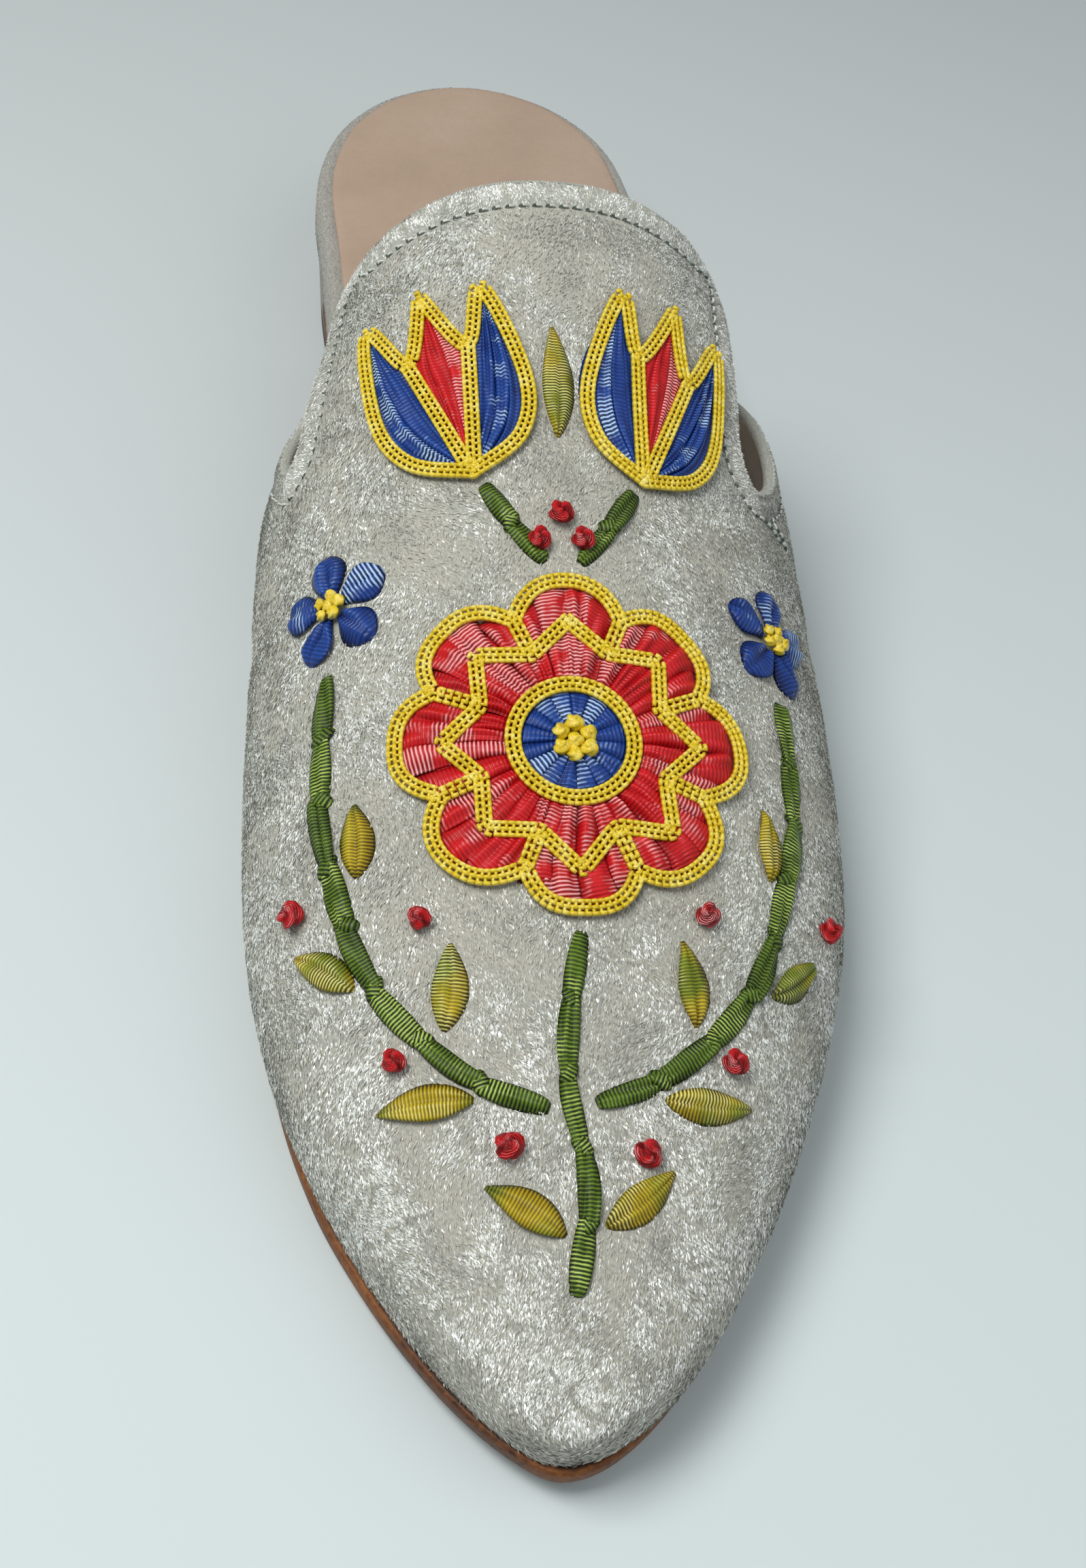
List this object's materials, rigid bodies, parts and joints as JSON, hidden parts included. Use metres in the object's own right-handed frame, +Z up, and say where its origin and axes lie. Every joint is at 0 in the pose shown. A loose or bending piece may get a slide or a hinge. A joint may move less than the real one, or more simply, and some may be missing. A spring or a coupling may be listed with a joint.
{
  "type": "mule shoe",
  "caption": "Flat pointed-toe backless mule for the left foot, in crushed velvet with raised ribbon flower embroidery, a leather sock, a thin leather sole and a low block heel.",
  "frame": {"origin": "middle of the shoe's plan box, on the floor that it stands on", "axes": "+Y along the shoe from toe to heel, +X to the outer side of the foot, +Z up"},
  "size_m": [0.0922, 0.2678, 0.0689],
  "materials": {
    "velvet": "crushed silver-grey velvet with short glinting pile",
    "sole_leather": "burnished brown sole leather, darker at its edge",
    "sock_leather": "soft tan lining leather, low sheen",
    "heel_cover": "smooth taupe covering, satin",
    "lift_rubber": "dark matt rubber",
    "red_ribbon": "red satin ribbon with fine cross ribs",
    "blue_ribbon": "blue satin ribbon with fine cross ribs",
    "gold_braid": "glossy yellow-gold braid",
    "green_ribbon": "olive green satin ribbon",
    "leaf_ribbon": "gold-green shaded satin ribbon"
  },
  "bodies": {
    "root": {"upper": "velvet", "outsole": "sole_leather", "insole": "velvet", "sock": "sock_leather", "heel": "heel_cover", "heel_lift": "lift_rubber", "rosette": "red_ribbon", "rosette_eye": "blue_ribbon", "tulip_inner": "blue_ribbon", "tulip_outer": "blue_ribbon", "daisy_inner": "blue_ribbon", "daisy_inner_eye": "gold_braid", "daisy_outer": "blue_ribbon", "daisy_outer_eye": "gold_braid", "stem_toe": "green_ribbon", "stem_inner": "green_ribbon", "stem_outer": "green_ribbon", "stem_tulip_inner": "green_ribbon", "stem_tulip_outer": "green_ribbon", "leaf_toe_inner": "leaf_ribbon", "leaf_toe_outer": "leaf_ribbon", "leaf_inner_1": "leaf_ribbon", "leaf_inner_2": "leaf_ribbon", "leaf_inner_3": "leaf_ribbon", "leaf_inner_4": "leaf_ribbon", "leaf_outer_1": "leaf_ribbon", "leaf_outer_2": "leaf_ribbon", "leaf_outer_3": "leaf_ribbon", "leaf_outer_4": "leaf_ribbon", "leaf_throat": "leaf_ribbon"}
  },
  "joints": []
}
